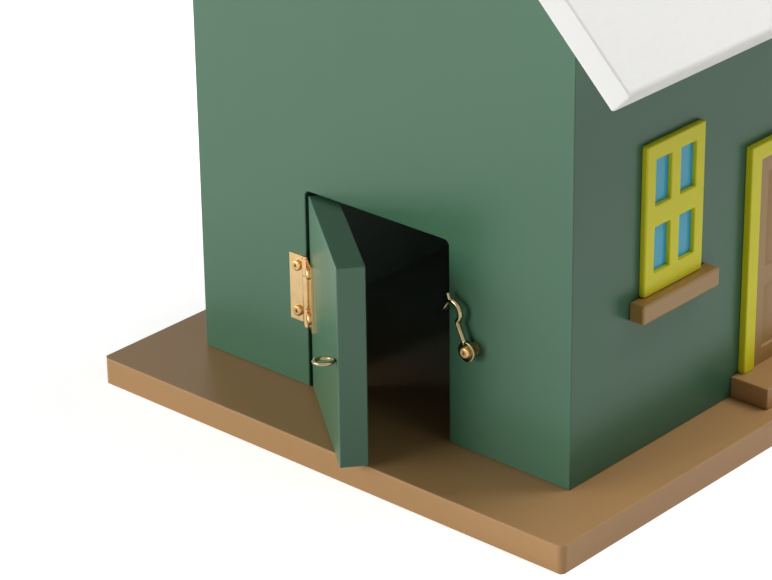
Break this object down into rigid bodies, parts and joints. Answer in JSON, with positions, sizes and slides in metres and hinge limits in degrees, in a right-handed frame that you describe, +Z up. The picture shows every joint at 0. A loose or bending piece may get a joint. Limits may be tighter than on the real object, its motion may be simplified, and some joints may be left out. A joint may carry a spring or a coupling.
{
  "type": "wooden toy house",
  "caption": "Painted wooden house on a base board, with a small hinged door in one gable wall kept shut by a brass hook and eye.",
  "frame": {"origin": "centre of the base board's underside", "axes": "+Z up; the gable wall with the small hinged door faces -Y; the long front with the entrance faces +X"},
  "size_m": [0.2334, 0.3149, 0.2811],
  "materials": {
    "green_paint": "satin paint over wood",
    "tan_paint": "satin paint over wood",
    "white_paint": "satin paint over wood",
    "lime_paint": "satin paint over wood",
    "blue_paint": "satin paint over wood",
    "brown_paint": "satin paint over wood",
    "bare_wood": "bare wood",
    "brass": "bright",
    "steel": "zinc plated"
  },
  "bodies": {
    "house": {"base_board": "tan_paint", "base_screws": "steel", "door_gable_wall": "green_paint", "far_gable_wall": "green_paint", "right_long_wall": "green_paint", "left_long_wall": "green_paint", "corner_strips": "bare_wood", "ridge_strip": "bare_wood", "roof_right": "white_paint", "roof_left": "white_paint", "hinge_wall_leaf": "brass", "hinge_pin": "brass", "hinge_wall_screws": "brass", "latch_collar": "brass", "latch_screw": "brass", "window_frame_1": "lime_paint", "window_frame_2": "lime_paint", "window_frame_3": "lime_paint", "window_frame_4": "lime_paint", "window_panes_1": "blue_paint", "window_panes_2": "blue_paint", "window_panes_3": "blue_paint", "window_panes_4": "blue_paint", "window_sill_1": "brown_paint", "window_sill_2": "brown_paint", "window_sill_3": "brown_paint", "window_sill_4": "brown_paint", "entrance_door": "brown_paint", "entrance_casing": "lime_paint", "entrance_knob": "brass", "entrance_step": "tan_paint"},
    "door": {"door_panel": "green_paint", "hinge_door_leaf": "brass", "hinge_door_screws": "brass", "screw_eye": "brass"},
    "hook": {"latch_hook": "brass"}
  },
  "joints": [
    {"name": "door_hinge", "type": "hinge", "parent": "house", "child": "door", "pos_m": [-0.03238, -0.12135, 0.0487], "axis": [0, 0, -1], "range_deg": [-38.5, 106.5]},
    {"name": "hook_pivot", "type": "hinge", "parent": "house", "child": "hook", "pos_m": [0.04325, -0.1232, 0.0501], "axis": [0, -1, 0], "range_deg": [-205.5, 58.5]}
  ]
}
